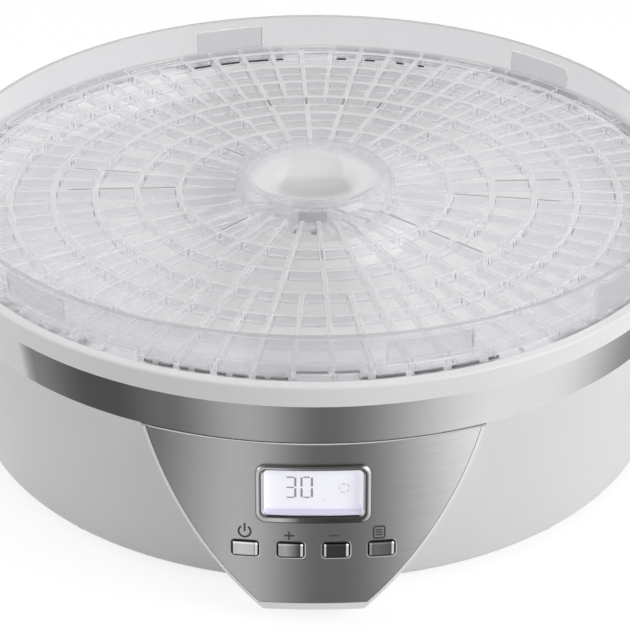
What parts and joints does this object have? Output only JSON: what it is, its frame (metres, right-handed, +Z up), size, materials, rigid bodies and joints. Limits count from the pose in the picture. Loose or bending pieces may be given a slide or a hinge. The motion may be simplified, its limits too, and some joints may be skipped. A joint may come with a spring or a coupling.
{
  "type": "food dehydrator",
  "caption": "Round countertop food dehydrator: drum base with fan, heater and slanted control panel, and a clear lift-off drying tray with a spoked grid.",
  "frame": {"origin": "on the table, under the middle of the object's bounding box", "axes": "+Z up, the control panel faces -Y, +X to the right seen from the front"},
  "size_m": [0.3408, 0.3521, 0.1234],
  "materials": {
    "clear_plastic": "clear, glossy",
    "deck_plastic": "off-white, satin gloss",
    "housing_plastic": "light grey, satin",
    "band_steel": "brushed round the drum",
    "panel_steel": "brushed",
    "chrome_trim": "polished",
    "clear_window": "clear, glossy",
    "display": "pale backlit face with grey segments",
    "rubber": "light grey, matt",
    "steel_screw": "zinc plated",
    "circuit_board": "green solder mask",
    "black_plastic": "satin",
    "cover_plastic": "dark grey, fine texture",
    "sheet_steel": "plain galvanised",
    "motor_steel": "zinc plated",
    "magnet": "dull, sintered",
    "bronze": "sintered",
    "armature": "laminated steel with copper windings",
    "fan_plastic": "satin",
    "mica": "pale brown sheet",
    "heater_wire": "oxidised",
    "blue_plastic": "glossy",
    "transformer": "taped winding in a steel core",
    "green_plastic": "glossy"
  },
  "bodies": {
    "base": {"top_deck": "deck_plastic", "steel_band": "band_steel", "base_housing": "housing_plastic", "bottom_cover": "cover_plastic", "cover_screws": "steel_screw", "housing_screws": "steel_screw", "cord_gland": "black_plastic", "gland_plate": "housing_plastic", "gland_nut": "black_plastic", "panel_frame": "housing_plastic", "panel_plate": "panel_steel", "panel_screws": "steel_screw", "display_bezel": "chrome_trim", "display_window": "clear_window", "lcd_module": "display", "control_board": "circuit_board", "control_board_screws": "steel_screw", "air_duct": "sheet_steel", "duct_screws": "steel_screw", "motor_bracket": "sheet_steel", "bracket_screws": "steel_screw", "motor_screws": "steel_screw", "motor_can": "motor_steel", "motor_end_cap": "black_plastic", "motor_magnets": "magnet", "heater_coil": "heater_wire", "heater_plate_x": "mica", "heater_plate_y": "mica", "thermal_cutout": "black_plastic", "thermal_fuse": "sheet_steel", "temperature_sensor": "sheet_steel", "power_board": "circuit_board", "board_screws": "steel_screw", "transformer": "transformer", "relay": "blue_plastic", "filter_capacitor": "black_plastic", "terminal_block": "green_plastic", "shaft_bush_bottom": "bronze", "shaft_bush_top": "bronze", "switch_power": "sheet_steel", "switch_plus": "sheet_steel", "switch_minus": "sheet_steel", "switch_menu": "sheet_steel", "foot_front_left": "rubber", "foot_front_right": "rubber", "foot_rear_left": "rubber", "foot_rear_right": "rubber"},
    "tray": {"drying_tray": "clear_plastic"},
    "fan": {"motor_shaft": "steel_screw", "motor_armature": "armature", "fan_impeller": "fan_plastic", "impeller_nut": "steel_screw"},
    "key_power": {"button_power": "chrome_trim", "plunger_power": "black_plastic"},
    "key_plus": {"button_plus": "chrome_trim", "plunger_plus": "black_plastic"},
    "key_minus": {"button_minus": "chrome_trim", "plunger_minus": "black_plastic"},
    "key_menu": {"button_menu": "chrome_trim", "plunger_menu": "black_plastic"}
  },
  "joints": [
    {"name": "power_press", "type": "slide", "parent": "base", "child": "key_power", "axis": [0, 0.9807, -0.1954], "range_m": [0, 0.0005], "stiffness_N_per_m": 2000, "springref_m": -0.0005},
    {"name": "plus_press", "type": "slide", "parent": "base", "child": "key_plus", "axis": [0, 0.9807, -0.1954], "range_m": [0, 0.0005], "stiffness_N_per_m": 2000, "springref_m": -0.0005},
    {"name": "minus_press", "type": "slide", "parent": "base", "child": "key_minus", "axis": [0, 0.9807, -0.1954], "range_m": [0, 0.0005], "stiffness_N_per_m": 2000, "springref_m": -0.0005},
    {"name": "menu_press", "type": "slide", "parent": "base", "child": "key_menu", "axis": [0, 0.9807, -0.1954], "range_m": [0, 0.0005], "stiffness_N_per_m": 2000, "springref_m": -0.0005},
    {"name": "fan_spin", "type": "hinge", "parent": "base", "child": "fan", "pos_m": [0, 0.00558, 0.052], "axis": [0, 0, 1], "continuous": true},
    {"name": "tray_lift", "type": "slide", "parent": "base", "child": "tray", "axis": [0, 0, 1], "range_m": [0, 0.06]}
  ]
}
